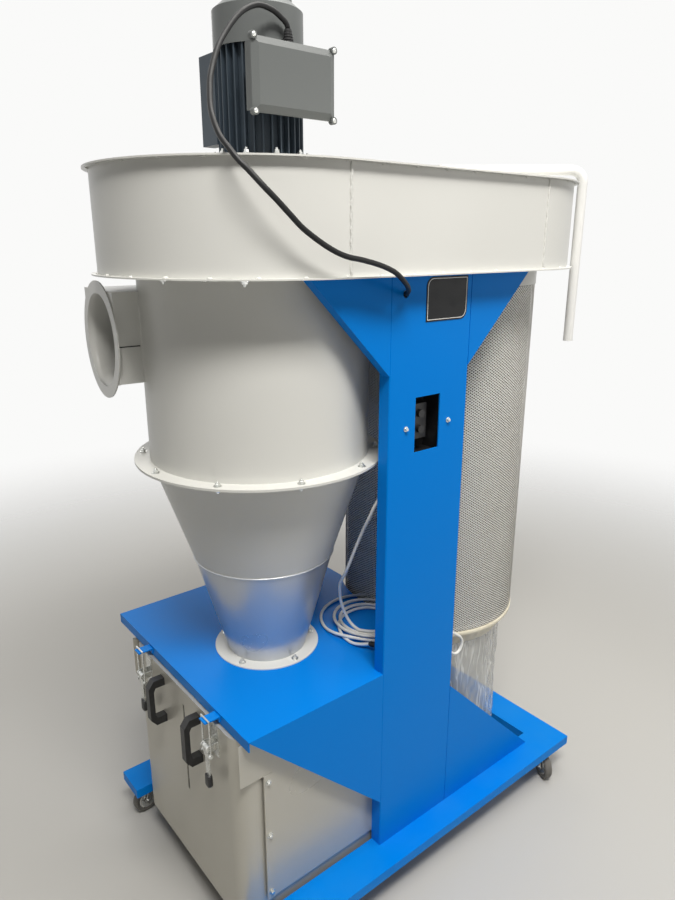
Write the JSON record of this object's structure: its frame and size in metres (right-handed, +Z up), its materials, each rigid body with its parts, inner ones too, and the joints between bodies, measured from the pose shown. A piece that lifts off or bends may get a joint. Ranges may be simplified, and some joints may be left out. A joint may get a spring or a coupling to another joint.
{
  "type": "cyclone dust extractor",
  "caption": "Mobile cyclone dust extractor: fan housing with motor over a cyclone and a cartridge filter, on a castor base with a sliding dust bin.",
  "frame": {"origin": "on the floor, midway between the cyclone axis and the filter axis", "axes": "+X from the cyclone to the filter, -Y towards the switch side, +Z up"},
  "size_m": [1.258, 0.754, 2.055],
  "materials": {
    "blue_paint": "semi-gloss powder coat",
    "pale_paint": "semi-gloss powder coat",
    "crank_paint": "gloss",
    "bin_paint": "semi-gloss powder coat",
    "motor_paint": "gloss enamel",
    "zinc": "bright zinc plating",
    "tyre": "moulded",
    "black_plastic": "fine grain",
    "plate_black": "printed film",
    "rubber": "foam",
    "cable_black": "smooth",
    "lead_white": "smooth",
    "pleat": "pleated",
    "mesh_paint": "expanded metal",
    "cuff": "woven",
    "clear_bag": "clear film",
    "window": "smooth"
  },
  "bodies": {
    "machine": {"base_front_rail": "blue_paint", "base_rear_rail": "blue_paint", "base_cross_rail": "blue_paint", "castor_plates": "zinc", "front_post": "blue_paint", "rear_post": "blue_paint", "upper_gussets": "blue_paint", "lower_gussets": "blue_paint", "rating_plate": "plate_black", "switch_box": "black_plastic", "table_top": "blue_paint", "table_lips": "blue_paint", "latch_catches": "blue_paint", "side_panels": "bin_paint", "bin_seal": "rubber", "housing_wall": "pale_paint", "housing_top": "pale_paint", "housing_floor": "pale_paint", "cyclone_barrel": "pale_paint", "cyclone_cone": "pale_paint", "cone_tip": "pale_paint", "outlet_ring": "pale_paint", "inlet_spigot": "pale_paint", "inlet_duct": "pale_paint", "vortex_tube": "pale_paint", "motor_body": "motor_paint", "motor_cowl": "motor_paint", "terminal_box": "motor_paint", "terminal_lid": "motor_paint", "cable_gland": "black_plastic", "motor_cable": "cable_black", "filter_core": "pleat", "filter_mesh": "mesh_paint", "filter_collar": "pale_paint", "filter_cuff": "cuff", "dust_bag": "clear_bag", "mains_lead": "lead_white", "lead_coil": "lead_white", "lead_bight": "lead_white", "mains_plug": "black_plastic"},
    "castor_1": {"castor_fork_1": "zinc"},
    "wheel_1": {"castor_wheel_1": "tyre"},
    "castor_2": {"castor_fork_2": "zinc"},
    "wheel_2": {"castor_wheel_2": "tyre"},
    "castor_3": {"castor_fork_3": "zinc"},
    "wheel_3": {"castor_wheel_3": "tyre"},
    "castor_4": {"castor_fork_4": "zinc"},
    "wheel_4": {"castor_wheel_4": "tyre"},
    "crank": {"crank_handle": "crank_paint"},
    "bin": {"dust_bin": "bin_paint", "bin_rim": "bin_paint", "sight_strip": "window", "bin_castors": "tyre", "bin_handles": "black_plastic", "latch_bases": "zinc"},
    "lever_front": {"latch_lever_front": "zinc"},
    "bail_front": {"latch_bail_front": "zinc"},
    "lever_rear": {"latch_lever_rear": "zinc"},
    "bail_rear": {"latch_bail_rear": "zinc"}
  },
  "joints": [
    {"name": "castor_1_swivel", "type": "hinge", "parent": "machine", "child": "castor_1", "pos_m": [-0.5, -0.3155, 0.0975], "axis": [0, 0, 1], "continuous": true},
    {"name": "wheel_1_roll", "type": "hinge", "parent": "castor_1", "child": "wheel_1", "pos_m": [-0.52631, -0.32508, 0.0375], "axis": [0.342, -0.9397, 0], "continuous": true},
    {"name": "castor_2_swivel", "type": "hinge", "parent": "machine", "child": "castor_2", "pos_m": [0.5, -0.3155, 0.0975], "axis": [0, 0, 1], "continuous": true},
    {"name": "wheel_2_roll", "type": "hinge", "parent": "castor_2", "child": "wheel_2", "pos_m": [0.48729, -0.34045, 0.0375], "axis": [0.891, -0.454, 0], "continuous": true},
    {"name": "castor_3_swivel", "type": "hinge", "parent": "machine", "child": "castor_3", "pos_m": [-0.5, 0.3155, 0.0975], "axis": [0, 0, 1], "continuous": true},
    {"name": "wheel_3_roll", "type": "hinge", "parent": "castor_3", "child": "wheel_3", "pos_m": [-0.52793, 0.31355, 0.0375], "axis": [0.0698, -0.9976, 0], "continuous": true},
    {"name": "castor_4_swivel", "type": "hinge", "parent": "machine", "child": "castor_4", "pos_m": [0.5, 0.3155, 0.0975], "axis": [0, 0, 1], "continuous": true},
    {"name": "wheel_4_roll", "type": "hinge", "parent": "castor_4", "child": "wheel_4", "pos_m": [0.48729, 0.34045, 0.0375], "axis": [-0.891, -0.454, 0], "continuous": true},
    {"name": "crank_turn", "type": "hinge", "parent": "machine", "child": "crank", "pos_m": [0.292, 0, 1.75], "axis": [0, 0, 1], "range_deg": [-55, 135]},
    {"name": "bin_slide", "type": "slide", "parent": "machine", "child": "bin", "axis": [-1, 0, 0], "range_m": [0, 0.6]},
    {"name": "lever_front_turn", "type": "hinge", "parent": "bin", "child": "lever_front", "pos_m": [-0.562, -0.168, 0.548], "axis": [0, 1, 0], "range_deg": [0, 125]},
    {"name": "bail_front_turn", "type": "hinge", "parent": "lever_front", "child": "bail_front", "pos_m": [-0.562, -0.168, 0.53], "axis": [0, 1, 0], "range_deg": [-143.75, 0]},
    {"name": "lever_rear_turn", "type": "hinge", "parent": "bin", "child": "lever_rear", "pos_m": [-0.562, 0.168, 0.548], "axis": [0, 1, 0], "range_deg": [0, 125]},
    {"name": "bail_rear_turn", "type": "hinge", "parent": "lever_rear", "child": "bail_rear", "pos_m": [-0.562, 0.168, 0.53], "axis": [0, 1, 0], "range_deg": [-143.75, 0]}
  ],
  "couplings": [
    {"joint": "bail_front_turn", "follows": "lever_front_turn", "ratio": -1.15},
    {"joint": "bail_rear_turn", "follows": "lever_rear_turn", "ratio": -1.15}
  ]
}
